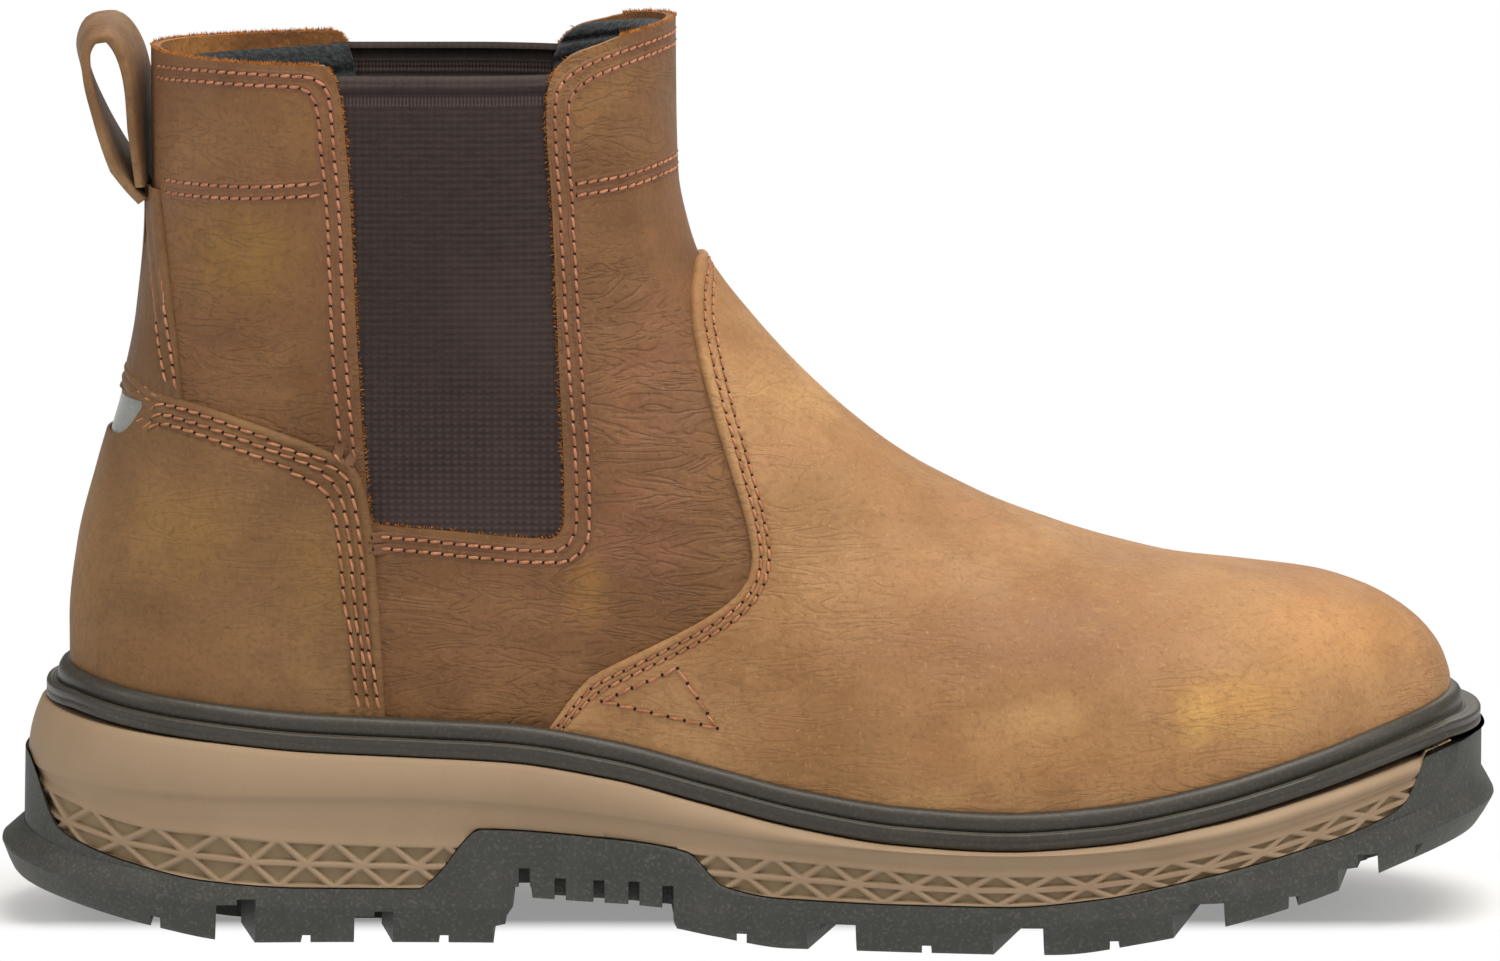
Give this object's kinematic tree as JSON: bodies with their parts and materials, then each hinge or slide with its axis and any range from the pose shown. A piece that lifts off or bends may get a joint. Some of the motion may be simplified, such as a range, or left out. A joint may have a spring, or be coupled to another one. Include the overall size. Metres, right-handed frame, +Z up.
{
  "type": "side gore work boot",
  "caption": "Right pull-on ankle work boot with elastic side gores, heel pull loop, rubber welt, foam midsole with a truss band, and lugged outsole.",
  "frame": {"origin": "on the floor under the middle of the sole's length and width", "axes": "+X towards the toe, +Z up, lateral side along -Y"},
  "size_m": [0.3134, 0.1159, 0.188],
  "materials": {
    "brown_leather": "matte",
    "tan_leather": "matte",
    "heel_leather": "matte",
    "back_leather": "matte",
    "strap_leather": "matte",
    "reflective_grey": "matte",
    "elastic": "matte",
    "grey_bed": "matte",
    "dark_brown_rubber": "matte",
    "tan_foam": "matte",
    "black_rubber": "matte"
  },
  "bodies": {
    "root": {"upper": "brown_leather", "vamp": "tan_leather", "heel_counter": "heel_leather", "heel_reflector": "reflective_grey", "backstay": "back_leather", "gore_lateral": "elastic", "gore_medial": "elastic", "insole": "grey_bed", "pull_loop": "strap_leather", "welt": "dark_brown_rubber", "midsole": "tan_foam", "outsole": "black_rubber"}
  },
  "joints": []
}
